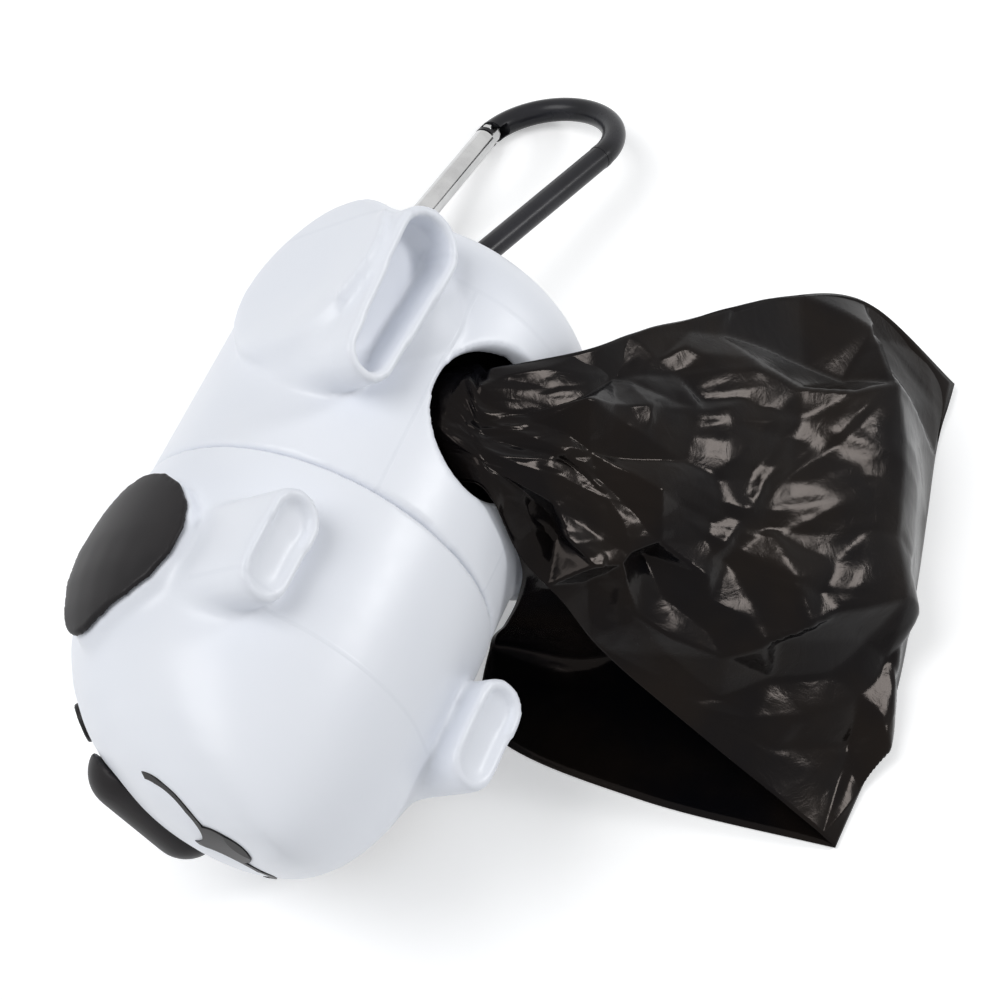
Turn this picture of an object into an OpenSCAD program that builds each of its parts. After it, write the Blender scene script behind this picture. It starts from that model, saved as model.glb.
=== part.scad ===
// Dog-shaped dispenser for rolls of waste bags, lying on a table with one bag drawn out.
// The capsule shell is built along X (head towards +X), with the belly on +Z and the
// right-hand legs on +Y, and is then rolled onto its side as it lies.
// The origin is the inside of the clip's far bend, where a lead's ring hangs.

/* [Shell] */
// Outside diameter of the capsule body
body_d = 45; // [42:1:48]
// Wall of the two moulded shells
wall = 2; // [1.7:0.1:2.4]
// Depth of the rounded rear end
rear_dome = 14; // [12:1:16]
// Straight length of the head, from the seam to where the muzzle starts to round off
head_straight = 15; // [13:1:19]
// Length of the rounded muzzle
muzzle_len = 26; // [23:1:30]
// How far the tip of the muzzle sits towards the belly
muzzle_drop = 17; // [12:1:18]
// Length of the neck that plugs into the head
neck_len = 7; // [5:0.5:9]

/* [Legs] */
// Height of the paws above the axis
paw_height = 21.8; // [20:0.2:23]
// Distance of a front paw from the middle plane
front_paw_side = 17.6; // [16:0.2:19]
// Length of a front paw
front_paw_len = 14.5; // [12:0.5:16]
// Width of a front paw
front_paw_w = 7; // [6:0.5:8]
// Distance of a rear paw from the middle plane
rear_paw_side = 18.9; // [18:0.1:20]
// Length of a rear paw
rear_paw_len = 25; // [22:1:27]
// Width of a rear paw at its broad end
rear_paw_w = 9.8; // [8.4:0.2:10.4]
// Radius of the round thigh
thigh_r = 12.3; // [10:0.1:13]

/* [Head] */
// Height of the white ear above the head
ear_rise = 1.9; // [1.4:0.1:2.4]
// Thickness of the black face of the ear
ear_face_t = 0.8; // [0.6:0.1:1.2]
// Width of the nose
nose_w = 19; // [14:0.5:21]
// Height of the nose
nose_h = 9.2; // [7:0.2:10]
// Radius of an eye
eye_r = 2.4; // [1.6:0.1:3]
// Radius of each of the two curves of the mouth
mouth_r = 5; // [4:0.1:5.6]

/* [Bags] */
// Diameter of the hole that the bags are drawn through
outlet_d = 18; // [14:0.5:19]
// Distance of that hole behind the seam
outlet_back = 17.5; // [15:0.5:20]
// Diameter of the full roll
roll_d = 32; // [26:0.5:33]
// Width of the roll
roll_len = 56; // [48:1:57]
// Outside diameter of the roll's core
core_d = 13; // [10:0.5:16]
// How far the drawn bag reaches out across the table
bag_reach = 68; // [60:1:74]

/* [Clip] */
// Overall length of the clip
clip_len = 57.5; // [52:0.5:60]
// Overall width of the clip at its broad end
clip_w = 23; // [21:0.5:26]
// Diameter of the clip's rod
rod_d = 3.4; // [3:0.1:3.8]
// Turn of the clip away from the body's axis
clip_turn = 15; // [10:0.5:22]
// Tilt of the clip's rod in the tail's eye
clip_tilt = 25; // [15:1:28]

/* [Resting] */
// Roll of the body from lying on its back, over to the right-hand ear
rest_roll = 45; // [35:1:55]

/* [Hidden] */
$fn = 64;
body_r = body_d / 2;
cavity_r = body_r - wall;
fit = 0.05;
seam_gap = 0.2;
edge = 0.5;
neck_r = cavity_r + 0.4;
neck_bore_r = neck_r - 1.5;
socket_r = neck_r + fit;
head_r = body_r + 0.2;
rear_power = 2.3;
muzzle_power = 1.9;
slice_step = 0.03;
key_w = 3;
key_h = 0.6;

roll_front = head_straight + 5;
// The rear end of the roll reaches this far into the rounded end of the shell.
roll_reach = 5;
rear_straight = roll_len - roll_front - roll_reach;

front_paw_x = 14.3;
rear_paw_x = -21.6;
rear_paw_slim = 0.74;
thigh_x = -24;
thigh_z = 8.5;
thigh_side = rear_paw_side + rear_paw_w / 2 + 1;
paw_wall = 1.3;

tab_t = 2.8;
tab_eye_r = 3;
tab_wall = 2.2;
tab_z = -16.5;
tab_x = -rear_straight - rear_dome - 1.6;

ear_back = [15, 0.6];
ear_back_r = 9.4;
ear_front_r = 4.6;
ear_reach = 7.2;
ear_lean = 16;
ear_inset = 0.15;
// The right-hand ear sits further round than the left-hand one.
ear_far_turn = 18;
nose_turn = 47;
nose_seat = 1.2;
eye_turn = 31;
eye_side = 31;
mouth_z = 4.4;
mouth_w = 0.8;
mouth_deep = 0.5;
tongue_drop = 5.2;
tongue_r = 3.4;
nose_sink = 2.2;

roll_r = roll_d / 2;
core_r = core_d / 2;
core_wall = 0.9;
// The roll lies on the inside of the neck.
roll_sag = neck_bore_r - roll_r - 0.3;
bundle_r = outlet_d / 2 - 0.8;
// The gathered film starts just above the roll and ends outside the hole.
bundle_low = roll_r - roll_sag * cos(rest_roll) + 0.7;
bundle_top = body_r + 1;
floor_z = -(head_r + ear_rise + ear_face_t);
// The film is drawn thicker than it is, so that it holds as a solid.
film_t = 1.4;
film_rows = 12;
film_cols = 8;
// Where the gathered film leaves the hole, and how it spreads and swells from there.
gather_y = (body_r + 2.2) * cos(41);
gather_z = (body_r + 2.2) * sin(41);
film_end = floor_z + film_t + 0.2;
bag_spread = 0.77 * bag_reach;
bag_swell = 0.1 * bag_reach;

rod_r = rod_d / 2;
bend_near = 5.5;
bend_far = clip_w / 2 - rod_r;
far_x = clip_len - rod_d - bend_far;
flare = asin((bend_far - bend_near) / (far_x - bend_near));
side_len = (far_x - bend_near) * cos(flare);
hinge_at = rod_r + 0.25;
rivet_r = 0.65;
tongue_t = 1.5;
slot_t = 1.9;
gate_gap = 0.35;
gate_len = side_len - hinge_at - gate_gap;
gate_bore_r = 0.95;
gate_bore_len = 12;
plunger_len = 3;
latch_r = 0.6;
latch_out = 1.7;
// The rod swells a little where a bend was formed.
swell = 0.05;
swell_len = 0.8;

// A point of the body's frame in the frame of the body as it lies.
function lying(p) = [
    p[0],
    p[1] * cos(rest_roll) + p[2] * sin(rest_roll),
    -p[1] * sin(rest_roll) + p[2] * cos(rest_roll)
];
// A point of the clip's own frame in the body's frame.
function clip_along(d) = [
    tab_x - d * cos(clip_turn),
    d * sin(clip_turn),
    tab_z
];
origin = lying(clip_along(far_x + bend_far - rod_r));

// ---- frames ---------------------------------------------------------------

module on_table() {
    translate(-origin) children();
}

module rolled() {
    on_table() rotate([-rest_roll, 0, 0]) children();
}

module along_x() {
    rotate([0, 90, 0]) children();
}

module clip_place() {
    rolled()
        translate([tab_x, 0, tab_z])
            rotate([0, 0, 180 - clip_turn])
                rotate([90 + clip_tilt, 0, 0])
                    children();
}

// ---- shared outlines ------------------------------------------------------

// Quarter of a rounded end, from its rim to its pole, as [radius, distance].
function end_curve(r, depth, power, steps = 14) = [
    for (i = [0:steps])
        let (a = 90 * i / steps)
        [r * pow(cos(a), 2 / power), depth * pow(sin(a), 2 / power)]
];

// Round bar along X with a rounded rear end, from x = front back to the pole.
module rear_form(r, depth, front) {
    curve = end_curve(r, depth, rear_power);
    along_x()
        rotate_extrude()
            polygon(concat(
                [[0, front], [r, front]],
                [for (p = curve) [p[0], -rear_straight - p[1]]]
            ));
}

// The muzzle: round slices whose middles move towards the belly as they shrink.
function slice_r(a, r) = r * pow(cos(a), 2 / muzzle_power);
function slice_x(a, len) = head_straight + len * pow(sin(a), 2 / muzzle_power);
function slice_z(a, drop) = drop * (1 - pow(cos(a), 2 / muzzle_power));

module muzzle_form(inset) {
    hull()
        for (a = [0:9:81])
            translate([slice_x(a, muzzle_len - inset) - 0.1, 0, slice_z(a, muzzle_drop)])
                along_x()
                    cylinder(h = 0.1, r = slice_r(a, head_r - inset) - slice_step, $fn = 48);
}

// Outline of two circles on the X axis and the straight sides between them.
module two_circles(x1, r1, x2, r2) {
    lean = acos((r1 - r2) / (x2 - x1));
    arc_1 = [for (i = [0:12]) lean + (360 - 2 * lean) * i / 12];
    arc_2 = [for (i = [0:12]) -lean + 2 * lean * i / 12];
    polygon(concat(
        [for (a = arc_1) [x1 + r1 * cos(a), r1 * sin(a)]],
        [for (a = arc_2) [x2 + r2 * cos(a), r2 * sin(a)]]
    ));
}

// Ear outline seen from the side, broad near the seam and narrower towards the face.
module ear_outline(inset) {
    translate(ear_back)
        rotate(-ear_lean)
            two_circles(0, ear_back_r - inset, ear_reach, ear_front_r - inset);
}

module ear_prism(side, inset) {
    rotate([side > 0 ? 90 - ear_far_turn : 90, 0, 0])
        translate([0, 0, side > 0 ? -head_r - 8 : 8])
            linear_extrude(height = head_r)
                ear_outline(inset);
}

// The head's outside, grown outwards all over.
module head_form(grow) {
    along_x()
        cylinder(h = head_straight, r = head_r + grow);
    muzzle_form(-grow);
}

// Frame on the face at slice angle a and turn t from the back line, Z outwards.
function face_point(a, t) = [
    slice_x(a, muzzle_len),
    slice_r(a, head_r) * sin(t),
    slice_z(a, muzzle_drop) - slice_r(a, head_r) * cos(t)
];

module on_face(a, t) {
    du = face_point(a + 1, t) - face_point(a - 1, t);
    dv = face_point(a, t + 1) - face_point(a, t - 1);
    out = cross(dv, du);
    translate(face_point(a, t))
        rotate([0, acos(out[2] / norm(out)), atan2(out[1], out[0])])
            children();
}

// ---- rear half of the shell ------------------------------------------------

module rear_paw_outline(inset) {
    r1 = rear_paw_w / 2;
    r2 = r1 * rear_paw_slim;
    half = rear_paw_len / 2;
    translate([rear_paw_x, 0])
        two_circles(r1 - half, r1 - inset, half - r2, r2 - inset);
}

module rear_leg(side) {
    translate([0, side * rear_paw_side, 0])
        linear_extrude(height = paw_height)
            rear_paw_outline(0);
    translate([thigh_x, 0, thigh_z])
        rotate([-90 * side, 0, 0])
            cylinder(h = thigh_side, r = thigh_r);
}

module rear_paw_hollow(side) {
    translate([0, side * rear_paw_side, paw_height - 5])
        linear_extrude(height = 6)
            rear_paw_outline(paw_wall);
}

module tail_tab() {
    translate([0, 0, tab_z - tab_t / 2])
        linear_extrude(height = tab_t) {
            translate([tab_x, 0])
                circle(r = tab_eye_r + tab_wall);
            translate([tab_x, -tab_eye_r - tab_wall])
                square([-rear_straight - tab_x, 2 * (tab_eye_r + tab_wall)]);
        }
}

module rear_shell() {
    color("white")
        rolled()
            difference() {
                union() {
                    difference() {
                        union() {
                            rear_form(body_r, rear_dome, -seam_gap);
                            for (side = [-1, 1])
                                rear_leg(side);
                            tail_tab();
                        }
                        rear_form(cavity_r, rear_dome - wall, 1);
                    }
                    along_x()
                        translate([0, 0, -3.5])
                            difference() {
                                cylinder(h = neck_len + 3.5, r = neck_r);
                                translate([0, 0, -1])
                                    cylinder(h = neck_len + 6, r = neck_bore_r);
                            }
                    translate([-0.5, -key_w / 2, neck_r - 0.3])
                        cube([neck_len + 0.5, key_w, key_h + 0.3]);
                }
                translate([-outlet_back, 0, 12])
                    cylinder(h = 20, d = outlet_d);
                translate([-outlet_back, 0, body_r - 1.9])
                    cylinder(h = 2, r1 = outlet_d / 2, r2 = outlet_d / 2 + 1);
                for (side = [-1, 1])
                    rear_paw_hollow(side);
                translate([tab_x, 0, tab_z - tab_t])
                    cylinder(h = 2 * tab_t, r = tab_eye_r);
            }
}

// ---- head ------------------------------------------------------------------

module front_paw_outline(inset) {
    r = front_paw_w / 2;
    half = front_paw_len / 2;
    translate([front_paw_x, 0])
        two_circles(r - half, r - inset, half - r, r - inset);
}

module nose_form() {
    intersection() {
        hull()
            for (side = [-1, 1])
                translate([0, side * (nose_w - nose_h) / 2, -nose_sink])
                    sphere(r = nose_h / 2, $fn = 32);
        translate([-nose_w, -nose_w, -nose_seat])
            cube([2 * nose_w, 2 * nose_w, nose_w]);
    }
}

module eye_form() {
    translate([0, 0, -0.8])
        cylinder(h = 1.1, r = eye_r);
}

// Seen from the front: two curves side by side and the tongue that hangs between them.
module mouth_outline() {
    for (side = [-1, 1])
        translate([0, side * mouth_r])
            difference() {
                circle(r = mouth_r + mouth_w / 2);
                circle(r = mouth_r - mouth_w / 2);
                translate([-2 * mouth_r, -1.5 * mouth_r])
                    square([2 * mouth_r, 3 * mouth_r]);
            }
    difference() {
        translate([tongue_drop, 0])
            circle(r = tongue_r);
        for (side = [-1, 1])
            translate([0, side * mouth_r])
                circle(r = mouth_r);
    }
}

module mouth_band() {
    translate([head_straight + 5, 0, mouth_z])
        rotate([0, 90, 0])
            mirror([1, 0, 0])
                linear_extrude(height = muzzle_len)
                    mouth_outline();
}

module head_shell() {
    color("white")
        rolled()
            difference() {
                union() {
                    head_form(0);
                    for (side = [-1, 1])
                        translate([0, side * front_paw_side, 0])
                            linear_extrude(height = paw_height)
                                front_paw_outline(0);
                    intersection() {
                        union() {
                            ear_prism(-1, 0);
                            ear_prism(1, 0);
                        }
                        head_form(ear_rise);
                    }
                }
                along_x()
                    translate([0, 0, -1])
                        cylinder(h = neck_len + 1.5, r = socket_r);
                along_x()
                    translate([0, 0, neck_len])
                        cylinder(h = head_straight - neck_len + 0.05, r = head_r - wall - 0.2);
                muzzle_form(wall + 0.2);
                translate([-1, -key_w / 2 - 0.1, socket_r - 1])
                    cube([neck_len + 1.5, key_w + 0.2, key_h + 1.1]);
                for (side = [-1, 1]) {
                    translate([0, side * front_paw_side, paw_height - 1])
                        linear_extrude(height = 2)
                            front_paw_outline(paw_wall);
                    on_face(eye_turn, side * eye_side)
                        eye_form();
                }
                on_face(nose_turn, 0)
                    nose_form();
                difference() {
                    mouth_band();
                    muzzle_form(mouth_deep);
                }
            }
}

module mouth_line_form() {
    intersection() {
        mouth_band();
        difference() {
            muzzle_form(0);
            muzzle_form(mouth_deep);
        }
    }
}

module mouth_line() {
    color("black")
        rolled()
            mouth_line_form();
}

module ear_face(side) {
    color("black")
        rolled()
            intersection() {
                ear_prism(side, ear_inset);
                difference() {
                    head_form(ear_rise + ear_face_t);
                    head_form(ear_rise);
                }
            }
}

module ear_face_left() {
    ear_face(-1);
}

module ear_face_right() {
    ear_face(1);
}

module nose() {
    color("black")
        rolled()
            on_face(nose_turn, 0)
                nose_form();
}

module eye(side) {
    color("black")
        rolled()
            on_face(eye_turn, side * eye_side)
                eye_form();
}

module eye_left() {
    eye(-1);
}

module eye_right() {
    eye(1);
}

// ---- roll of bags ----------------------------------------------------------

module roll_place() {
    on_table()
        translate([roll_front - roll_len, 0, -roll_sag])
            along_x()
                children();
}

module tube(len, r_out, r_in) {
    difference() {
        cylinder(h = len, r = r_out);
        translate([0, 0, -1])
            cylinder(h = len + 2, r = r_in);
    }
}

module roll_core() {
    color("tan")
        roll_place()
            tube(roll_len, core_r, core_r - core_wall);
}

module bag_roll() {
    color("black")
        roll_place()
            tube(roll_len, roll_r, core_r);
}

// ---- drawn bag -------------------------------------------------------------

// Top of the film, from the outlet (u = 0) to the far edge (u = 1), and from its head-side
// border (w = 0) to its tail-side border (w = 1). It swells between the two borders.
function film_top(u, w) =
    let (
        fold = 0.75 * u + 0.25 * pow(u, 10),
        head = [
            -outlet_back + bundle_r + 0.5 + 0.1 * bag_reach * u,
            gather_y + (bag_reach - gather_y) * pow(u, 1.1),
            gather_z + (film_end - gather_z) * pow(u, 0.7)
        ],
        tail = [
            -outlet_back - bundle_r + 2.9 - bag_spread * (1 - pow(1 - u, 1.35)),
            gather_y - 4.3 + (0.91 * bag_reach - gather_y + 4.3) * fold,
            gather_z + 3.6 + (film_end - gather_z - 3.6) * fold
        ],
        swell = sin(180 * w) * pow(sin(180 * (0.12 + 0.88 * u)), 0.25) * (0.7 + 0.5 * u)
    )
    head + (tail - head) * w + swell * [0, 1.25 * bag_swell, bag_swell];

// Underside of the lower layer, which hangs from the tail-side border to the table, lies
// there, and is tucked back under the leg at its head-side border.
function film_low(u, w) =
    let (
        p = film_top(u, w),
        fall = 0.5 - 0.5 * cos(180 * min(1, max(0, (u - 0.34) / 0.2))),
        tuck = sin(180 * max(0, (u - 0.42) / 0.58)) * pow(1 - w, 2),
        z = p[2] - 1.1 * film_t
    )
    [
        p[0] + 0.08 * bag_reach * tuck + 0.4 * w,
        p[1] - 0.4 * bag_reach * tuck - 0.4 * u,
        max(floor_z, z - (z - floor_z) * fall * (1 - pow(w, 8)))
    ];

// A sheet of film_rows by film_cols patches between its top and its underside.
module film_sheet(top, low) {
    wide = film_cols + 1;
    count = (film_rows + 1) * wide;
    upper = [for (i = [0:film_rows - 1], j = [0:film_cols - 1])
        let (k = i * wide + j)
        each [[k, k + 1, k + wide], [k + 1, k + wide + 1, k + wide]]];
    lower = [for (i = [0:film_rows - 1], j = [0:film_cols - 1])
        let (k = count + i * wide + j)
        each [[k, k + wide, k + 1], [k + 1, k + wide, k + wide + 1]]];
    rim = concat(
        [for (j = [0:film_cols]) j],
        [for (i = [1:film_rows]) i * wide + film_cols],
        [for (j = [1:film_cols]) film_rows * wide + film_cols - j],
        [for (i = [1:film_rows - 1]) (film_rows - i) * wide]
    );
    edge_faces = [for (k = [0:len(rim) - 1])
        let (a = rim[k], b = rim[(k + 1) % len(rim)])
        each [[a, a + count, b], [b, a + count, b + count]]];
    polyhedron(points = concat(top, low), faces = concat(upper, lower, edge_faces));
}

module upper_layer() {
    top = [for (i = [0:film_rows], j = [0:film_cols]) film_top(i / film_rows, j / film_cols)];
    film_sheet(top, [for (p = top) p - [0, 0, film_t]]);
}

module lower_layer() {
    low = [for (i = [0:film_rows], j = [0:film_cols])
        film_low(0.25 + 0.75 * i / film_rows, j / film_cols)];
    film_sheet([for (p = low) p + [0, 0, 0.9 * film_t]], low);
}

module drawn_bag() {
    color("black")
        union() {
            rolled()
                translate([-outlet_back, 0, bundle_low])
                    cylinder(h = bundle_top - bundle_low, r = bundle_r);
            on_table()
                upper_layer();
            on_table()
                lower_layer();
        }
}

// ---- clip ------------------------------------------------------------------

module rod_arc(radius, from, turn) {
    rotate([0, 0, from])
        rotate_extrude(angle = turn)
            translate([radius, 0])
                circle(r = rod_r, $fn = 32);
}

// Frame at the near end of one side of the clip, X along that side.
module side_place(side) {
    translate([bend_near - bend_near * sin(flare), side * bend_near * cos(flare), 0])
        rotate([0, 0, side * flare])
            children();
}

module clip_frame() {
    color("dimgray")
        clip_place()
            difference() {
                union() {
                    translate([bend_near, 0, 0])
                        rod_arc(bend_near, 90 + flare, 180 - 2 * flare);
                    translate([far_x, 0, 0])
                        rod_arc(bend_far, -90 - flare, 180 + 2 * flare);
                    side_place(1)
                        rotate([0, 90, 0])
                            cylinder(h = side_len, r = rod_r, $fn = 32);
                    for (end = [0, side_len])
                        side_place(1)
                            translate([end - swell_len / 2, 0, 0])
                                rotate([0, 90, 0])
                                    cylinder(h = swell_len, r = rod_r + swell, $fn = 32);
                    side_place(-1)
                        translate([0, 0, -tongue_t / 2])
                            linear_extrude(height = tongue_t) {
                                translate([-0.5, -1.5])
                                    square([hinge_at + 0.5, 3]);
                                translate([hinge_at, 0])
                                    circle(r = 1.5);
                            }
                }
                side_place(-1)
                    translate([hinge_at, 0, -rod_r])
                        cylinder(h = rod_d, r = rivet_r + fit);
                side_place(-1)
                    translate([side_len - 1, -rod_r - 1, -slot_t / 2])
                        cube([4.4, rod_d + 2, slot_t]);
                side_place(-1)
                    translate([side_len - gate_gap + latch_out - latch_r - 0.15, -latch_r - 0.15, -rod_r - 1])
                        cube([2 * latch_r + 0.3, rod_d + 1, rod_d + 2]);
            }
}

module gate_place() {
    clip_place()
        side_place(-1)
            translate([hinge_at, 0, 0])
                children();
}

module clip_gate() {
    color("silver")
        gate_place()
            difference() {
                union() {
                    rotate([0, 90, 0])
                        cylinder(h = gate_len, r = rod_r, $fn = 32);
                    intersection() {
                        translate([0, 0, -rod_r])
                            cylinder(h = rod_d, r = rod_r, $fn = 32);
                        rotate([0, 90, 0])
                            translate([0, 0, -rod_d])
                                cylinder(h = 2 * rod_d, r = rod_r, $fn = 32);
                    }
                    translate([gate_len - 1, -1.4, -0.75])
                        cube([1 + latch_out + 0.8, 2.8, 1.5]);
                }
                translate([-rod_d, -rod_d, -slot_t / 2])
                    cube([rod_d + 1.8, 2 * rod_d, slot_t]);
                translate([0, 0, 0])
                    rotate([0, 90, 0])
                        cylinder(h = gate_bore_len, r = gate_bore_r);
                translate([0, 0, -rod_d])
                    cylinder(h = 2 * rod_d, r = rivet_r);
                translate([gate_len + latch_out, 0, -rod_d])
                    cylinder(h = 2 * rod_d, r = latch_r);
            }
}

module gate_rivet() {
    color("silver")
        gate_place()
            translate([0, 0, -rod_r + 0.1])
                cylinder(h = rod_d - 0.2, r = rivet_r);
}

module gate_latch_pin() {
    color("silver")
        gate_place()
            translate([gate_len + latch_out, 0, -rod_r + 0.3])
                cylinder(h = rod_d - 0.6, r = latch_r);
}

module gate_plunger() {
    color("gray")
        gate_place()
            rotate([0, 90, 0])
                translate([0, 0, 1.6])
                    cylinder(h = plunger_len, r = gate_bore_r - fit);
}

module gate_spring() {
    color("gray")
        gate_place()
            rotate([0, 90, 0])
                translate([0, 0, 1.6 + plunger_len])
                    tube(gate_bore_len - 1.6 - plunger_len, gate_bore_r - fit, gate_bore_r - 0.35);
}

// ---- nodes -----------------------------------------------------------------

rear_shell();
head_shell();
ear_face_left();
ear_face_right();
nose();
eye_left();
eye_right();
mouth_line();
roll_core();
bag_roll();
drawn_bag();
clip_frame();
clip_gate();
gate_rivet();
gate_latch_pin();
gate_plunger();
gate_spring();
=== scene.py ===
import bmesh
import bpy
import math
import random
from mathutils import Matrix, Vector, noise
from mathutils.bvhtree import BVHTree
from mathutils.geometry import delaunay_2d_cdt
from mathutils.kdtree import KDTree


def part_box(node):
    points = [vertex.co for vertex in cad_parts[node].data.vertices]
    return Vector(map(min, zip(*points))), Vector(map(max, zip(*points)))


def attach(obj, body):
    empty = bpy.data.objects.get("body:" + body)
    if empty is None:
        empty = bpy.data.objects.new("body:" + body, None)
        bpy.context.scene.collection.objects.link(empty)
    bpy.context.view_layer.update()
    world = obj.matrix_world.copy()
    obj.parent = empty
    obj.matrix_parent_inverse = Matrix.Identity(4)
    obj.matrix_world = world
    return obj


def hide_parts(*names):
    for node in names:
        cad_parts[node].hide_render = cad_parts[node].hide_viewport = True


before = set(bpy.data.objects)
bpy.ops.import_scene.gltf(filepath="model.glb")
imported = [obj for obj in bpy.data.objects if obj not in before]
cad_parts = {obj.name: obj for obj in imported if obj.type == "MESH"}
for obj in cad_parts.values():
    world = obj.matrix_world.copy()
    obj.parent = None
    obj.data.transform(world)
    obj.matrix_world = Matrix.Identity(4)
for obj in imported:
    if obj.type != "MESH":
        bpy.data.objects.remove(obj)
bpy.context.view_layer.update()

# ---- Camera ------------------------------------------------------------------
# The photograph looks down on the lying dog from above its back, about a third
# of a metre away. Seam is the middle of the parting between head and body.
seam = Vector((0.0972145, 0.0020775, 0.0212571))
lens_data = bpy.data.cameras.new("photo_camera")
lens_data.sensor_width = 36
lens_data.lens = 96.332
lens_data.clip_start = 0.01
photo_camera = bpy.data.objects.new("photo_camera", lens_data)
bpy.context.scene.collection.objects.link(photo_camera)
to_right = Vector((-0.36521304, 0.92996189, 0.04231217))
to_top = Vector((-0.768658, -0.32688266, 0.54982962))
to_viewer = Vector((0.52515171, 0.16828136, 0.83420445))
eye_point = seam + Vector((0.1527445, 0.0712459, 0.2707436))
photo_camera.matrix_world = Matrix((
    (to_right.x, to_top.x, to_viewer.x, eye_point.x),
    (to_right.y, to_top.y, to_viewer.y, eye_point.y),
    (to_right.z, to_top.z, to_viewer.z, eye_point.z),
    (0, 0, 0, 1)))
bpy.context.scene.camera = photo_camera
bpy.context.scene.view_settings.view_transform = "Standard"

# ---- Rear shell --------------------------------------------------------------
# The rear half of the body, a thin capsule of white polypropylene with both rear legs,
# the round hole for the film and the tail's eye, one satin moulding. The tool leaves a
# small fillet in every inner corner, a soft edge on every rim and a fine parting line.


eighth_turn = 0.70711  # cosine of 45 degrees, by which the dog is rolled on to its side


class Value:
    """A number, colour or vector that a material works out."""

    def __init__(self, tree, socket):
        self.tree, self.socket = tree, socket

    def node(self, kind, settings=(), out=0, **sockets):
        """A new node's output; sockets are given by name, or as i0, i1 and so on by number."""
        made = self.tree.nodes.new(kind)
        for key, value in dict(settings).items():
            setattr(made, key, value)
        for key, value in sockets.items():
            self.feed(made.inputs[int(key[1:]) if key[1:].isdigit() else key.replace("_", " ")], value)
        return Value(self.tree, made.outputs[out])

    def feed(self, socket, value):
        if isinstance(value, Value):
            self.tree.links.new(value.socket, socket)
        else:
            socket.default_value = value

    def sum_up(self, operation, *values):
        """The result of a Math node on the values."""
        settings = {"operation": operation}
        return self.node("ShaderNodeMath", settings, **{f"i{n}": v for n, v in enumerate(values)})

    def __add__(self, other): return self.sum_up("ADD", self, other)
    def __radd__(self, other): return self.sum_up("ADD", other, self)
    def __sub__(self, other): return self.sum_up("SUBTRACT", self, other)
    def __rsub__(self, other): return self.sum_up("SUBTRACT", other, self)
    def __mul__(self, other): return self.sum_up("MULTIPLY", self, other)
    def __abs__(self): return self.sum_up("ABSOLUTE", self)
    def power(self, other): return self.sum_up("POWER", self, other)
    def above(self, other): return self.sum_up("GREATER_THAN", self, other)

    def between(self, low, high):
        """0 below low and 1 above high, with a smooth step between them."""
        settings = {"interpolation_type": "SMOOTHSTEP", "clamp": True}
        return self.node("ShaderNodeMapRange", settings, i0=self, i1=low, i2=high, i3=0.0, i4=1.0)

    def noise(self, scale, detail=2.0, roughness=0.5, distortion=0.0):
        """Noise from 0 to 1, with this value as its place and scale in waves a metre."""
        return self.node("ShaderNodeTexNoise", Vector=self, Scale=scale, Detail=detail,
                         Roughness=roughness, Distortion=distortion)

    def blend(self, first, second):
        """The first colour where this value is 0 and the second where it is 1."""
        return self.node("ShaderNodeMix", {"data_type": "RGBA"}, 2, i0=self, i6=first, i7=second)

    def parts(self):
        """The x, y and z of a vector."""
        made = self.tree.nodes.new("ShaderNodeSeparateXYZ")
        self.tree.links.new(self.socket, made.inputs[0])
        return [Value(self.tree, o) for o in made.outputs]


def finish_of(name, recipe, **constants):
    """A new material. recipe(place) gives what varies, and constants are the same all over.

    A recipe's "height" is the strength, distance and height of the relief."""
    material = bpy.data.materials.new(name)
    material.use_nodes = True
    tree = material.node_tree
    shader = tree.nodes["Principled BSDF"]
    for key, value in constants.items():
        shader.inputs[key.replace("_", " ")].default_value = value
    coordinates = tree.nodes.new("ShaderNodeTexCoord")
    place = Value(tree, coordinates.outputs["Object"])
    for key, value in recipe(place).items():
        if key == "height":
            strength, distance, height = value
            bump = place.node("ShaderNodeBump", Strength=strength, Distance=distance, Height=height)
            place.feed(shader.inputs["Normal"], bump)
        else:
            place.feed(shader.inputs[key.replace("_", " ")], value)
    return material


def moulded(node, name, grain, rounds, polish=0, where=None):
    """The CAD solid of a node as one even mesh, its corners softened as a tool leaves them.

    grain is the mesh's spacing in metres and rounds how often all of it is smoothed.
    polish is more rounds for the points that where(point, normal) picks."""
    bm = bmesh.new()
    bm.from_mesh(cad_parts[node].data)
    bmesh.ops.remove_doubles(bm, verts=bm.verts, dist=1e-6)
    mesh = bpy.data.meshes.new(name)
    bm.to_mesh(mesh)
    bm.free()
    piece = bpy.data.objects.new(name, mesh)
    bpy.context.scene.collection.objects.link(piece)
    even = piece.modifiers.new("even", "REMESH")
    even.mode = "VOXEL"
    even.voxel_size = grain
    bpy.context.view_layer.update()
    made = bpy.data.meshes.new_from_object(piece.evaluated_get(bpy.context.evaluated_depsgraph_get()))
    piece.modifiers.clear()
    bm = bmesh.new()
    bm.from_mesh(made)
    axes = {"use_axis_x": True, "use_axis_y": True, "use_axis_z": True}
    for _ in range(rounds):
        bmesh.ops.smooth_vert(bm, verts=bm.verts, factor=0.5, **axes)
    bm.normal_update()
    chosen = [v for v in bm.verts if where(v.co, v.normal)] if polish else []
    for _ in range(polish):
        bmesh.ops.smooth_vert(bm, verts=chosen, factor=0.5, **axes)
    for face in bm.faces:
        face.smooth = True
    bm.to_mesh(mesh)
    bm.free()
    return piece


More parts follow.
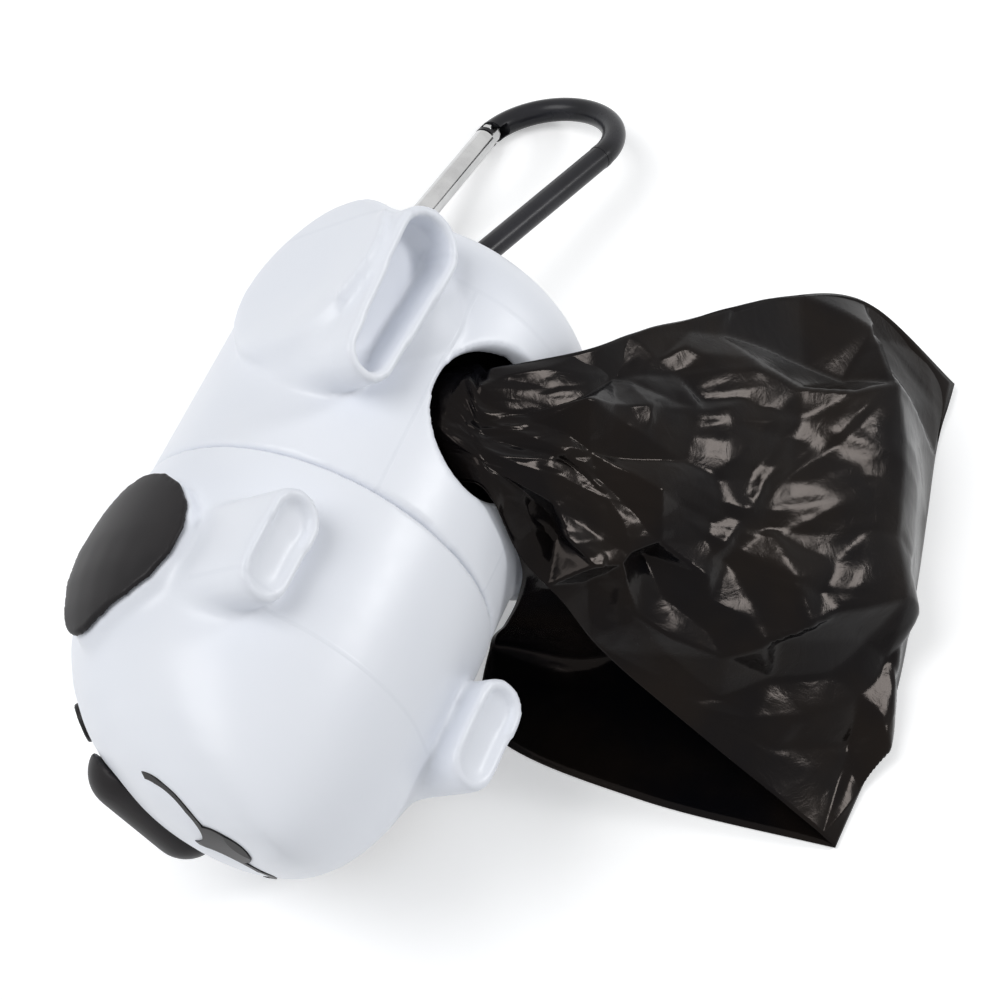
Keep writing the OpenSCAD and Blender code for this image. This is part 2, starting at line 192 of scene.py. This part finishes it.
def white_plastic(lines):
    """Satin white polypropylene; lines(place) gives the parting lines of that shell, 0 to 1. Their relief and
    roughness are real, and along them the colour is darkened to bluish grey as painted shade.
    """
    def recipe(place):
        cloud = place.noise(35, 3)
        fine = place.noise(2600, 2)
        speck = place.noise(420, 1)
        parting_line_and_shade = lines(place)
        colour = cloud.between(0.3, 0.7).blend((0.80, 0.825, 0.885, 1), (0.835, 0.855, 0.905, 1))
        # painted shade: along the parting lines the colour is darkened towards bluish grey
        colour = (parting_line_and_shade * 0.25).blend(colour, (0.55, 0.58, 0.64, 1))
        return {
            "Base Color": colour,
            "Roughness": 0.33 + speck * 0.08 + parting_line_and_shade * 0.1,
            "height": (0.25, 0.0002, parting_line_and_shade * 0.7 + fine * 0.06 + speck * 0.05),
        }
    return recipe


def dog_place(place):
    """How far a place lies along the dog, to its side and to its belly from the seam's middle."""
    x, y, z = place.node("ShaderNodeVectorMath", {"operation": "SUBTRACT"}, i0=place, i1=tuple(seam)).parts()
    return x, (y - z) * eighth_turn, (y + z) * eighth_turn


def rear_lines(place):
    """The two lines along the belly between the legs, and the ring where the dome begins."""
    x, side, belly = dog_place(place)
    edge = 1 - abs(abs(side) - 0.0095).between(0.00012, 0.0003)
    edge = edge * belly.above(0.015) * x.above(-0.0305)
    ring = 1 - abs(x + 0.0309).between(0.0001, 0.0005)
    return edge * 0.5 + ring * 0.35


def on_thigh(point, normal):
    """Whether a point of the rear shell is outside the plain capsule, on a thigh and not on its paw."""
    x, y, z = point - seam
    side, belly = abs(y - z) * eighth_turn, (y + z) * eighth_turn
    return math.hypot(side, belly) > 0.0232 and side > 0.0165 and belly < 0.0185 and -0.041 < x < -0.0085


rear_shell = moulded("rear_shell", "rear_shell_moulding", 0.00042, 4, 70, on_thigh)
rear_shell.data.materials.append(finish_of("white_plastic_rear", white_plastic(rear_lines), IOR=1.48))
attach(rear_shell, "shell")
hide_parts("rear_shell")

# ---- Head shell --------------------------------------------------------------
# The front half with the muzzle, the ears and the front paws, one moulding of
# the same white plastic, pushed over the neck of the rear shell.


def head_lines(place):
    """The ring where the muzzle begins, on the belly side."""
    x, side, belly = dog_place(place)
    ring = 1 - abs(x - 0.0194).between(0.0001, 0.0004)
    return ring * belly.above(0.012) * (1 - side.above(0.014)) * 0.4


def on_muzzle(point, normal):
    """Whether a point of the head shell lies in front of its straight part."""
    return point.x > seam.x + 0.0125


head_shell = moulded("head_shell", "head_shell_moulding", 0.00042, 5, 22, on_muzzle)
head_shell.data.materials.append(finish_of("white_plastic_head", white_plastic(head_lines), IOR=1.48))
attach(head_shell, "head")
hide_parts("head_shell")

# ---- Ears, nose, eyes and mouth ----------------------------------------------
# Black satin plastic pieces pressed into the white head, each with soft edges. The
# mouth is a thin inlay and keeps the CAD's own solid.


def black_plastic(place):
    cloud = place.noise(60, 4)
    fine = place.noise(3200, 2)
    colour = cloud.between(0.3, 0.7).blend((0.010, 0.009, 0.010, 1), (0.018, 0.016, 0.017, 1))
    return {
        "Base Color": colour,
        "Roughness": 0.34 + cloud * 0.14,
        "height": (0.2, 0.0002, fine * 0.08 + cloud * 0.1),
    }


black_satin = finish_of("black_satin_plastic", black_plastic, Specular_IOR_Level=0.17)


def outer_face(point, normal):
    """Whether a point is on the face that looks away from the body's axis."""
    out = (point - seam) * Vector((0, 1, 1))
    return normal.dot(out.normalized()) > 0.88


for node, grain, rounds, polish in (
        ("ear_face_left", 0.00025, 9, 60), ("ear_face_right", 0.00025, 9, 60),
        ("nose", 0.0003, 5, 0), ("eye_left", 0.0002, 3, 0), ("eye_right", 0.0002, 3, 0)):
    trim = moulded(node, node + "_trim", grain, rounds, polish, outer_face)
    trim.data.materials.append(black_satin)
    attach(trim, "head")
    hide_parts(node)
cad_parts["mouth_line"].data.materials.clear()
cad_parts["mouth_line"].data.materials.append(black_satin)

# ---- Card core and roll of bags -------------------------------------------------
# The bags are one long sleeve of thin black film, wound on a tube of grey card.
# The ends of the roll show the edges of its many layers, none quite level.


def turned(name, profile, node, steps):
    """A closed profile of (along, out) points in metres, spun round the middle of the node's box."""
    low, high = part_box(node)
    middle = (low + high) / 2
    bm = bmesh.new()
    ring = [bm.verts.new((x, middle.y + r, middle.z)) for x, r in profile]
    edges = [bm.edges.new((a, b)) for a, b in zip(ring, ring[1:] + ring[:1])]
    bmesh.ops.spin(bm, geom=ring + edges, cent=middle, axis=(1, 0, 0), angle=math.tau, steps=steps, use_merge=True)
    bmesh.ops.remove_doubles(bm, verts=bm.verts, dist=1e-7)
    bmesh.ops.recalc_face_normals(bm, faces=bm.faces)
    for face in bm.faces:
        face.smooth = True
    mesh = bpy.data.meshes.new(name)
    bm.to_mesh(mesh)
    bm.free()
    piece = bpy.data.objects.new(name, mesh)
    bpy.context.scene.collection.objects.link(piece)
    return piece


def roll_film(place):
    x, y, z = place.parts()
    low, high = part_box("bag_roll")
    layers_a_metre = 9000
    across, up = y - (low.y + high.y) / 2, z - (low.z + high.z) / 2
    out = (across * across + up * up).power(0.5)
    layers = out.node("ShaderNodeCombineXYZ", i0=out * layers_a_metre).noise(1.0, 2)
    wrinkle = place.noise(300, 4, 0.6, 0.8)
    colour = wrinkle.between(0.3, 0.7).blend((0.012, 0.011, 0.011, 1), (0.030, 0.026, 0.024, 1))
    return {
        "Base Color": colour,
        "Roughness": 0.24 + layers * 0.2,
        "height": (0.5, 0.0004, wrinkle * 0.5 + layers * 0.3),
    }


low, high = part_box("bag_roll")
layer_edges = random.Random(4)
shown_layers = 26
out_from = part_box("roll_core")[1].y - (low.y + high.y) / 2 + 0.00002
out_to = (high.y - low.y) / 2 - 0.0002
steps_out = [out_from + (out_to - out_from) * i / shown_layers for i in range(shown_layers + 1)]
front_end = [(high.x - layer_edges.uniform(0.0001, 0.0006), r) for r in steps_out]
back_end = [(low.x + layer_edges.uniform(0.0001, 0.0006), r) for r in reversed(steps_out)]
wound = turned("wound_bags", front_end + back_end, "bag_roll", 96)
wound.data.materials.append(finish_of("wound_film", roll_film, IOR=1.5))
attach(wound, "roll")
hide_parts("bag_roll")


def card(place):
    x, y, z = place.parts()
    fibre = place.noise(900, 4, 0.7)
    winding = place.sum_up("SINE", (x * 0.6 + y) * 900)
    colour = fibre.between(0.3, 0.75).blend((0.33, 0.29, 0.24, 1), (0.52, 0.46, 0.38, 1))
    return {
        "Base Color": colour,
        "Roughness": 0.82 + fibre * 0.1,
        "height": (0.4, 0.0003, fibre + winding.above(0.97) * 0.4),
    }


low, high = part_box("roll_core")
wide = (high.y - low.y) / 2
core = turned("card_core", [
    (low.x, wide - 0.0002), (low.x, wide - 0.0007), (low.x + 0.0001, wide - 0.0009),
    (high.x - 0.0001, wide - 0.0009), (high.x, wide - 0.0007), (high.x, wide - 0.0002),
    (high.x - 0.0001, wide - 0.00002), (low.x + 0.0001, wide - 0.00002)], "roll_core", 64)
core.data.materials.append(finish_of("grey_card", card, Specular_IOR_Level=0.3))
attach(core, "roll")
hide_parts("roll_core")

# ---- Drawn bag ----------------------------------------------------------------
# One bag of black polythene film, about 15 microns thick, pulled out gathered
# through the hole. Its two layers part where they leave the leg, so that the upper
# stands off the table and the lower lies on it. Creases stay sharp in such film.

# Points across the bag from its head-side to its tail-side border, millimetres from
# the seam, row by row from inside the hole to the far edge on the table.
upper_rows = (
    ((-9.5, 10.6, 10.6), (-11.8, 6.6, 14.6), (-17.5, 4.9, 16.3), (-23.2, 6.6, 14.6), (-25.5, 10.6, 10.6)),
    ((-9.7, 13.8, 13.8), (-12.0, 10.4, 17.2), (-17.5, 9.3, 18.3), (-23.0, 10.2, 17.4), (-25.3, 13.8, 13.8)),
    ((-8.8, 17.9, 15.2), (-10.2, 17.0, 18.0), (-13.6, 15.4, 19.5), (-18.0, 13.6, 19.8), (-22.8, 12.8, 18.3)),
    ((-6.9, 23.1, 6.9), (-12.2, 25.2, 11.8), (-17.0, 25.2, 15.5), (-23.4, 23.1, 17.2), (-32.0, 20.7, 14.7)),
    ((-6.0, 29.1, 1.9), (-12.9, 31.6, 6.0), (-19.4, 31.8, 10.8), (-28.2, 28.8, 13.4), (-39.4, 24.6, 11.0)),
    ((-6.2, 35.0, -6.6), (-13.6, 38.0, 1.1), (-22.1, 38.3, 6.7), (-33.5, 34.6, 9.5), (-46.7, 28.9, 7.1)),
    ((-4.5, 48.5, -14.3), (-16.5, 52.5, -7.8), (-29.0, 51.6, -1.8), (-44.8, 46.9, 0.4), (-63.1, 38.7, -2.4)),
    ((-2.6, 62.9, -21.5), (-23.5, 68.0, -18.5), (-40.3, 63.2, -11.9), (-56.0, 55.4, -9.2), (-72.9, 48.4, -10.6)),
    ((-2.0, 68.2, -24.8), (-22.0, 69.1, -24.6), (-41.3, 66.9, -24.6), (-62.9, 63.2, -24.6), (-75.0, 62.0, -24.3)))
lower_rows = (
    ((-9.5, 10.6, 10.6), (-11.8, 14.6, 6.6), (-17.5, 16.3, 4.9), (-23.2, 14.6, 6.6), (-25.5, 10.6, 10.6)),
    ((-9.7, 13.8, 13.8), (-12.0, 17.4, 10.2), (-17.5, 18.7, 8.9), (-23.0, 17.4, 10.2), (-25.3, 13.8, 13.8)),
    ((-8.8, 17.9, 15.2), (-12.5, 20.4, 12.4), (-17.0, 21.4, 11.8), (-21.5, 19.0, 13.2), (-22.8, 12.8, 18.3)),
    ((-7.3, 23.0, 5.9), (-13.0, 26.2, 7.3), (-19.0, 27.4, 9.0), (-25.6, 25.0, 11.0), (-32.0, 20.7, 14.7)),
    ((-7.3, 23.3, -2.2), (-14.0, 34.4, 0.0), (-22.0, 35.0, 0.5), (-32.6, 33.0, 3.0), (-39.4, 24.6, 11.0)),
    ((-9.2, 21.2, -13.7), (-14.0, 32.5, -11.0), (-25.0, 39.0, -12.0), (-40.0, 37.0, -9.0), (-46.7, 28.9, 7.1)),
    ((-12.0, 18.6, -25.2), (-16.0, 33.0, -22.0), (-33.0, 43.0, -21.0), (-52.0, 41.0, -16.0), (-55.1, 33.6, 2.6)),
    ((-0.5, 23.5, -25.2), (-17.0, 40.0, -25.2), (-36.0, 48.0, -25.0), (-58.0, 47.0, -22.0), (-63.1, 38.7, -2.4)),
    ((1.0, 43.8, -25.2), (-18.0, 56.0, -25.2), (-42.0, 58.0, -25.2), (-67.5, 53.0, -25.0), (-72.9, 48.4, -10.6)),
    ((-2.0, 68.2, -24.8), (-22.0, 69.1, -24.6), (-41.3, 66.9, -24.6), (-62.9, 63.2, -24.6), (-75.0, 62.0, -24.3)))


def along_curve(points, t):
    """A point of the smooth curve through the points, at t from 0 to 1."""
    place = min(t, 0.999999) * (len(points) - 1)
    i = int(place)
    f = place - i
    b, c = points[i], points[i + 1]
    a = points[i - 1] if i else b + (b - c)
    d = points[i + 2] if i + 2 < len(points) else c + (c - b)
    return 0.5 * (2 * b + (c - a) * f + (2 * a - 5 * b + 4 * c - d) * f * f + (3 * b - a - 3 * c + d) * f ** 3)


def facets(corners, runs):
    """Heights of the flat facets between corners, with a crease along each side and each run."""
    edges = [pair for run in runs for pair in zip(run, run[1:])]
    flat, _, faces, *_ = delaunay_2d_cdt([Vector(c[:2]) for c in corners], edges, [], 0, 1e-6)
    near = KDTree(len(corners))
    for i, c in enumerate(corners):
        near.insert(Vector((c[0], c[1], 0)), i)
    near.balance()
    tree = BVHTree.FromPolygons([Vector((p.x, p.y, corners[near.find((p.x, p.y, 0))[1]][2])) for p in flat], faces)

    def height(a, b):
        hit = tree.ray_cast(Vector((a, b, 100)), Vector((0, 0, -1)))[0]
        return hit.z if hit else 0.0
    return height


def crumple(seed, apart, depth, turn, stretch):
    """Heights of flat facets between loose points, drawn out by stretch in the direction of turn."""
    rng = random.Random(seed)
    rows = int(90 / apart)
    bumps = facets([
        ((i + rng.uniform(-0.45, 0.45)) * apart, (j + rng.uniform(-0.45, 0.45)) * apart, rng.uniform(-depth, depth))
        for i in range(-rows, rows + 1) for j in range(-rows, rows + 1)], ())
    c, s = math.cos(turn), math.sin(turn)
    return lambda a, b: bumps((a * c + b * s) / stretch, b * c - a * s)


film_long, film_wide = 84, 62  # millimetres from hole to far edge, and across one layer


# Corners of the main creases, millimetres along and across the flat film and height over
# its plain swell, and the creases that run from corner to corner.
crease_corners = (
    (27.3, 58, -0.1), (31.9, 62, 0), (41.6, 61.7, 0.1), (53.8, 60.1, -0.5), (57.5, 61.4, 0.2),
    (49.1, 61.7, 0), (58.4, 62, 0), (64.7, 62, 0), (73.1, 61.7, 0), (80.6, 62, 0), (83.6, 62, 0),
    (84, 46.2, 0), (83.6, 38.8, 0), (83.2, 31.6, 0), (83.2, 24.5, 0), (83.6, 18.6, 0), (79.8, 10.5, 1.7),
    (83.6, 6.5, 0.1), (84, 0, 0), (22.3, 0, 0), (24.4, 0, 0), (32.8, 0, 0), (31.9, 0, 0), (43.7, 0, 0),
    (53.8, 0, 0), (62.6, 0, 0), (69.3, 0, 0), (52.5, 0.6, -0.1), (61.3, 2.5, -0.4), (68.9, 3.7, -1),
    (71.8, 4.3, -1.3), (13.9, 46.5, 0), (39.9, 54.9, -2.2), (52.1, 53.9, -1.6), (56.7, 53, -0.6),
    (59.2, 52.4, 0), (62.6, 49.9, -0.5), (13, 40.3, 0.2), (23.5, 56.7, -0.1), (28.1, 53.6, -1.4),
    (31.5, 49.6, -2.5), (32.8, 46.2, 0.6), (27.3, 46.5, -2.5), (17.6, 33.8, -2), (15.1, 27, -1.1),
    (27.7, 42.2, -2.5), (17.2, 24.8, -0.9), (25.6, 36.3, -2.5), (31.1, 32.5, -2.3), (28.6, 22.3, -1.5),
    (25.6, 32.9, -2.4), (28.1, 27, -2), (11.3, 14.9, 0), (21.8, 18.3, -1.5), (10.5, 0.9, 0),
    (23.5, 14.9, -1.4), (31.1, 15.5, -0.6), (35.3, 9.6, -2.5), (36.1, 35.3, -2.5), (53.3, 38.4, -2.5),
    (56.3, 37.2, -2.4), (38.2, 28.8, -2.5), (31.9, 14.6, -0.1), (34.9, 10.9, 1.7), (45.4, 14.6, 1.8),
    (46.6, 17.4, 0.9), (49.1, 31.6, -0.4), (56.3, 29.8, -2.5), (51.2, 22.3, -0.2), (56.3, 26.4, -2.1),
    (49.1, 56.4, -1), (56.7, 58.9, -0.9), (52.9, 57.3, -0.1), (54.6, 55.8, -0.4), (52.9, 53.9, -1.5),
    (62.6, 55.2, -2.2), (65.1, 53.9, -2.5), (72.7, 56.7, 1.3), (73.1, 48.4, 2.5), (69.7, 50.8, -2.5),
    (58.8, 53.9, -0.1), (73.1, 57.3, -1.5), (73.9, 42.2, 1.4), (73.1, 31, -0.2), (72.7, 23.9, 1),
    (74.3, 18, -2.4), (55, 49, -2.5), (54.6, 47.1, -2), (55.4, 39.7, -2.3), (56.7, 38.1, -2.3),
    (59.2, 31.6, -2.3), (57.1, 47.7, -1.3), (57.1, 43.4, -1.9), (58.4, 49, -1.5), (63.4, 46.5, -1.8),
    (60.5, 38.1, -2), (59.6, 48, -1.7), (59.6, 39.4, -2.5), (68.9, 48, 0.5), (65.9, 43.4, -1.3),
    (61.3, 36.6, -2.5), (61.3, 31.6, -2.4), (68.9, 45.6, 0), (69.3, 39.7, -0.7), (70.1, 35.7, -0.6),
    (69.7, 31, -1.1), (65.5, 28.5, -1.8), (67.2, 25.7, -0.9), (56.7, 22.9, -1), (56.7, 20.1, 0.1),
    (57.5, 31.3, -2.5), (58.4, 24.2, -2.5), (38.2, 0, 0), (43.7, 7.4, -0.4), (50, 0.3, 0), (47, 0, 0),
    (52.1, 9.3, 2.2), (56.3, 9.6, 1.9), (57.1, 6.5, 0), (40.7, 10.2, 2.5), (50.8, 18.3, -2.5),
    (54.2, 13.9, -0.7), (58.8, 12.7, -0.5), (62.6, 14.6, 1.1), (57.5, 17, 0), (60.9, 17, 0),
    (62.2, 17, 0.1), (67.2, 27.6, -1.4), (65.9, 23.2, -0.8), (65.5, 18.9, 1.1), (68.5, 25.7, -0.2),
    (67.2, 21.4, 0.3), (65.5, 5.3, -0.3), (65.5, 10.9, -2.5), (68.9, 13.9, -2.5), (68.5, 4, -1.3),
    (68.5, 8.1, -0.9), (59.2, 2.8, -0.6), (63, 5.3, -1.7), (69.3, 5.3, -1.7), (75.2, 7.8, -2.1),
    (60.5, 10.5, 0.5), (63.8, 16.1, -0.1), (71, 18.9, -2.5), (55, 24.5, -1.4), (63.8, 24.5, -0.8),
    (71.8, 12.7, -2), (74.3, 8.7, -2.5), (11.8, 20.7, 0), (11.8, 31, 0), (11.8, 51.7, 0), (84, 51.7, 0),
    (11.8, 62, 0), (16.8, 0, 0), (16.8, 62, 0), (79, 0, 0), (20.7, 52.4, -0.2), (24.8, 55.9, -0.5),
    (50, 0.3, 0), (66.8, 26.3, -1.2), (57.1, 24.3, -1.5))
crease_runs = (
    (0, 1, 2, 3, 4), (5, 6, 7, 8, 9, 10, 11, 12, 13, 14, 15, 16, 17, 18, 26, 25, 24, 23, 22),
    (8, 81, 78, 77, 76, 75, 71, 3, 72, 73, 74), (19, 20, 21),
    (30, 29, 28, 27, 115, 112, 113, 114, 27, 118, 117, 116, 113, 119), (31, 0, 32, 33, 34),
    (32, 2, 70, 33, 35, 36, 80, 73), (35, 93, 91, 86, 87, 88, 89, 90, 95, 94, 36),
    (37, 38, 39, 40, 41, 42, 43, 44, 45, 41), (46, 47, 48, 49, 51, 50), (48, 58, 59, 60), (49, 53, 52),
    (53, 54), (55, 56, 57), (56, 61, 62, 63, 64, 65, 61, 66, 67), (65, 68, 69),
    (76, 79, 78, 82, 83, 84, 85, 146, 134, 133, 132, 135, 136, 133, 141, 117), (89, 92, 91),
    (94, 98, 78, 102, 103, 104, 105, 106, 101, 100, 99, 98), (96, 97, 90, 108, 109), (107, 106, 145),
    (110, 90, 111, 124, 125, 123, 122, 121, 120, 116), (127, 128, 129, 131, 130),
    (129, 123, 126, 111, 144), (132, 138, 137), (135, 139, 140), (142, 131, 143), (146, 147))


creases = facets(crease_corners, crease_runs)
big = crumple(11, 14.0, 1.6, 0.35, 1.6)
middling = crumple(5, 6.6, 0.5, -0.5, 1.8)
little = crumple(23, 3.1, 0.22, 0.9, 1.8)
least = crumple(31, 1.7, 0.07, 0.2, 1.7)
pleat = crumple(8, 11.0, 0.6, 0.0, 4.0)


def film_layer(bm, rows, across, along, side, folds, share):
    """One layer of the bag, added to bm, with folds(a, b) over its plain swell.

    side is 1 for the upper layer and -1 for the lower, share how much of the small folds it has."""
    made = bmesh.ops.create_grid(bm, x_segments=along, y_segments=across, size=0.5)["verts"]
    curves = [[Vector(p) for p in row] for row in rows]
    spot = {}
    for v in made:
        u, w = v.co.x + 0.5, v.co.y + 0.5
        spot[v] = (u, w)
        v.co = along_curve([along_curve(row, w) for row in curves], u)
    bm.normal_update()
    for v, (u, w) in spot.items():
        a, b = u * film_long, w * film_wide
        off_border = min(1, 7 * min(w, 1 - w)) * min(1, 16 * (1 - u))
        near_hole = max(0.0, 1 - 2.6 * u)
        worn = 0.25 + 1.1 * max(0.0, min(1.0, 0.5 + 1.6 * noise.noise((a * 0.055, b * 0.055, 4.0))))
        lift = (middling(a, b) * min(1, 0.3 + 2 * u) + little(a, b) + least(a, b)) * worn
        lift += near_hole * pleat(a * 0.35, b * 1.5)
        rim = noise.noise((a * 0.14, b * 0.14, side * 3)) * 0.5
        lift = lift * off_border + rim * (1 - off_border) * min(1, 9 * (1 - u))
        v.co += v.normal * side * (folds(a, b) + lift * share)


bm = bmesh.new()
film_layer(bm, upper_rows, 150, 210, 1, creases, 1.0)
film_layer(bm, lower_rows, 70, 130, -1, lambda a, b: 0.35 * big(a, b), 0.8)
# Film that would lie in the shell is moved out of it along the hole's axis, and none sinks
# into the table.
solid = bmesh.new()
solid.from_mesh(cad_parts["rear_shell"].data)
shell_tree = BVHTree.FromBMesh(solid)
solid.free()
way_out = Vector((0, 1, 1)).normalized()
clear, reach, table_top = 0.0004, 0.005, -0.00395
for v in bm.verts:
    v.co = seam + v.co * 0.001
    hit = shell_tree.ray_cast(v.co + way_out * reach, -way_out, reach + clear)[0]
    if hit:
        v.co = hit + way_out * clear
    v.co.z = max(v.co.z, table_top)
bmesh.ops.remove_doubles(bm, verts=bm.verts, dist=2e-5)
bmesh.ops.recalc_face_normals(bm, faces=bm.faces)
for face in bm.faces:
    face.smooth = True
bag_mesh = bpy.data.meshes.new("drawn_bag_film")
bm.to_mesh(bag_mesh)
bm.free()
bag = bpy.data.objects.new("drawn_bag_film", bag_mesh)
bpy.context.scene.collection.objects.link(bag)


def film(place):
    haze = place.noise(70, 3)
    fine = place.noise(700, 3, 0.6)
    streak = place.noise(330, 3, 0.6, 1.5)
    colour = haze.between(0.35, 0.7).blend((0.003, 0.003, 0.004, 1), (0.008, 0.006, 0.005, 1))
    return {
        "Base Color": colour,
        "Roughness": 0.11 + haze * 0.09,
        "height": (0.35, 0.0003, streak * 0.35 + fine * 0.1),
    }


bag.data.materials.append(finish_of(
    "black_film", film, IOR=1.5, Specular_IOR_Level=0.1, Specular_Tint=(1.0, 0.87, 0.8, 1)))
wall = bag.modifiers.new("film", "SOLIDIFY")
wall.thickness = 0.00008
wall.offset = -1
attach(bag, "bag")
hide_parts("drawn_bag")

# ---- Snap hook ------------------------------------------------------------------
# A bent aluminium rod, black anodised and glossy, closed by a sprung gate that is a
# bright polished tube on a rivet. Both are the CAD's own solids in their finishes.


def anodised(place):
    cloud = place.noise(150, 3)
    draw = place.noise(1800, 2)
    colour = cloud.between(0.3, 0.7).blend((0.011, 0.011, 0.013, 1), (0.020, 0.020, 0.024, 1))
    return {"Base Color": colour, "Roughness": 0.2 + cloud * 0.12, "height": (0.15, 0.0001, draw * 0.2)}


def polished(place):
    cloud = place.noise(220, 4)
    scratch = place.noise(4000, 2)
    colour = cloud.between(0.3, 0.7).blend((0.50, 0.50, 0.50, 1), (0.60, 0.60, 0.60, 1))
    return {"Base Color": colour, "Roughness": 0.12 + cloud * 0.08, "height": (0.12, 0.0001, scratch * 0.15)}


black_rod = finish_of("black_anodised_rod", anodised, Specular_IOR_Level=0.2)
bright_tube = finish_of("polished_tube", polished, Metallic=1.0)
pin_steel = finish_of("pin_steel", polished, Metallic=0.9)
for node, finish in (("clip_frame", black_rod), ("clip_gate", bright_tube), ("gate_rivet", pin_steel),
                     ("gate_latch_pin", pin_steel), ("gate_plunger", pin_steel), ("gate_spring", pin_steel)):
    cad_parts[node].data.materials.clear()
    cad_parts[node].data.materials.append(finish)

# ---- Floor and light ----------------------------------------------------------
# A white table with a soft shadow, a large soft lamp at the upper left, a small one
# low on the right that lights the film's facets, and an even white room.


def seen_directly(tree):
    """1 for the rays that show the background: from the camera, or by way of a mirror or glass."""
    path = tree.nodes.new("ShaderNodeLightPath")
    rays = [Value(tree, path.outputs[name]) for name in ("Is Camera Ray", "Is Glossy Ray", "Is Transmission Ray")]
    return rays[0].sum_up("MINIMUM", rays[0] + rays[1] + rays[2], 1.0)


def floor_finish():
    material = bpy.data.materials.new("white_table")
    material.use_nodes = True
    tree = material.node_tree
    shader = tree.nodes["Principled BSDF"]
    shader.inputs["Base Color"].default_value = (0.9, 0.9, 0.9, 1)
    shader.inputs["Roughness"].default_value = 0.9
    shader.inputs["Specular IOR Level"].default_value = 0.1
    glow = seen_directly(tree).blend((0, 0, 0, 1), (0.34, 0.34, 0.34, 1))
    tree.links.new(glow.socket, shader.inputs["Emission Color"])
    shader.inputs["Emission Strength"].default_value = 1
    return material


bm = bmesh.new()
bmesh.ops.create_grid(bm, x_segments=1, y_segments=1, size=2.5)
bmesh.ops.translate(bm, verts=bm.verts, vec=(0, 0, -0.00415))
table_mesh = bpy.data.meshes.new("table")
bm.to_mesh(table_mesh)
bm.free()
table = bpy.data.objects.new("table", table_mesh)
bpy.context.scene.collection.objects.link(table)
table.data.materials.append(floor_finish())

room = bpy.data.worlds.new("white_room")
bpy.context.scene.world = room
room.use_nodes = True
tree = room.node_tree
white = seen_directly(tree).blend((0.40, 0.41, 0.42, 1), (1, 1, 1, 1))
tree.links.new(white.socket, tree.nodes["Background"].inputs["Color"])


def lamp(name, place, aim, size, power):
    """A square area lamp, size metres on a side and power watts, that faces aim."""
    data = bpy.data.lights.new(name, "AREA")
    data.shape = "RECTANGLE"
    data.size = data.size_y = size
    data.energy = power
    made = bpy.data.objects.new(name, data)
    bpy.context.scene.collection.objects.link(made)
    made.location = place
    made.rotation_euler = (aim - place).to_track_quat("-Z", "Y").to_euler()


lamp("upper_left", seam + Vector((0.20, -0.34, 0.62)), seam, 0.42, 2.7)
film_middle = seam + Vector((-0.030, 0.042, 0))
lamp("upper_right", film_middle + Vector((-0.289, 0.409, 0.331)), film_middle, 0.13, 1.2)
